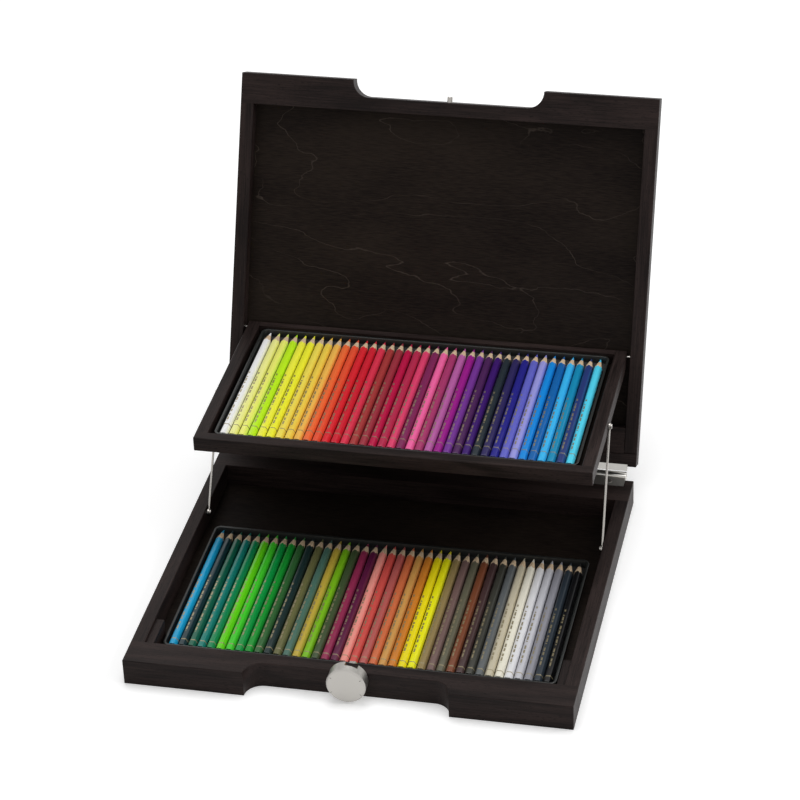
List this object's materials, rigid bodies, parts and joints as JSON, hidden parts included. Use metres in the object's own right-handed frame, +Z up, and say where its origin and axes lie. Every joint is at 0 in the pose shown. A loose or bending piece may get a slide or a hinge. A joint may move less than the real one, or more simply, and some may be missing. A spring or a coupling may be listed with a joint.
{
  "type": "hinged pencil case with a lifting tray",
  "caption": "Dark wooden pencil case whose hinged lid lifts a second tray of coloured pencils on wire struts, closed by a rotary knob catch in a finger notch.",
  "frame": {"origin": "middle of the case's underside, with the case standing on a table", "axes": "+X to the right of someone at the knob, +Y towards the hinges, +Z up"},
  "size_m": [0.386, 0.4993, 0.3354],
  "materials": {
    "case_wood": "dark stained and satin lacquered",
    "panel_wood": "near-black stained plywood",
    "insert_metal": "satin black paint",
    "liner_plastic": "matt black",
    "pencil_wood": "coloured gloss lacquer over bare wood tips",
    "hinge_aluminium": "satin extruded",
    "knob_aluminium": "turned and bead blasted",
    "steel": "nickel plated"
  },
  "bodies": {
    "base": {"base_front_rail": "case_wood", "base_back_rail": "case_wood", "base_left_rail": "case_wood", "base_right_rail": "case_wood", "base_panel": "panel_wood", "rest_block_left": "case_wood", "rest_block_right": "case_wood", "lower_insert": "insert_metal", "lower_liner": "liner_plastic", "lower_pencils_1": "pencil_wood", "lower_pencils_2": "pencil_wood", "lower_pencils_3": "pencil_wood", "lower_pencils_4": "pencil_wood", "hinge_left_base_leaf": "hinge_aluminium", "hinge_right_base_leaf": "hinge_aluminium", "strut_foot_screws": "steel"},
    "lid": {"lid_front_rail": "case_wood", "lid_back_strip": "case_wood", "lid_inner_rail": "case_wood", "lid_left_rail": "case_wood", "lid_right_rail": "case_wood", "lid_panel": "panel_wood", "catch_stud": "steel", "hinge_left_lid_leaf": "hinge_aluminium", "hinge_right_lid_leaf": "hinge_aluminium"},
    "tray": {"tray_front_rail": "case_wood", "tray_back_rail": "case_wood", "tray_left_rail": "case_wood", "tray_right_rail": "case_wood", "tray_panel": "panel_wood", "tray_pin_left": "steel", "tray_pin_right": "steel", "upper_insert": "insert_metal", "upper_liner": "liner_plastic", "upper_pencils_1": "pencil_wood", "upper_pencils_2": "pencil_wood", "upper_pencils_3": "pencil_wood", "upper_pencils_4": "pencil_wood", "strut_head_screws": "steel"},
    "strut_left": {"strut_left": "steel"},
    "strut_right": {"strut_right": "steel"},
    "knob": {"knob_cup": "knob_aluminium", "knob_spindle": "steel", "knob_nut": "steel"}
  },
  "joints": [
    {"name": "lid_hinge", "type": "hinge", "parent": "base", "child": "lid", "pos_m": [0, 0.176, 0.0225], "axis": [1, 0, 0], "range_deg": [0, 114]},
    {"name": "tray_pivot", "type": "hinge", "parent": "lid", "child": "tray", "pos_m": [0, 0.22772, 0.11802], "axis": [1, 0, 0], "range_deg": [-114, 0]},
    {"name": "strut_left_pivot", "type": "hinge", "parent": "base", "child": "strut_left", "pos_m": [-0.1799, 0.0662, 0.018], "axis": [1, 0, 0], "range_deg": [0, 114]},
    {"name": "strut_right_pivot", "type": "hinge", "parent": "base", "child": "strut_right", "pos_m": [0.1799, 0.0662, 0.018], "axis": [1, 0, 0], "range_deg": [0, 114]},
    {"name": "knob_turn", "type": "hinge", "parent": "base", "child": "knob", "pos_m": [0, -0.1528, 0.0185], "axis": [0, 1, 0], "range_deg": [0, 90]}
  ],
  "couplings": [
    {"joint": "tray_pivot", "follows": "lid_hinge", "ratio": -1},
    {"joint": "strut_left_pivot", "follows": "lid_hinge", "ratio": 1},
    {"joint": "strut_right_pivot", "follows": "lid_hinge", "ratio": 1}
  ]
}
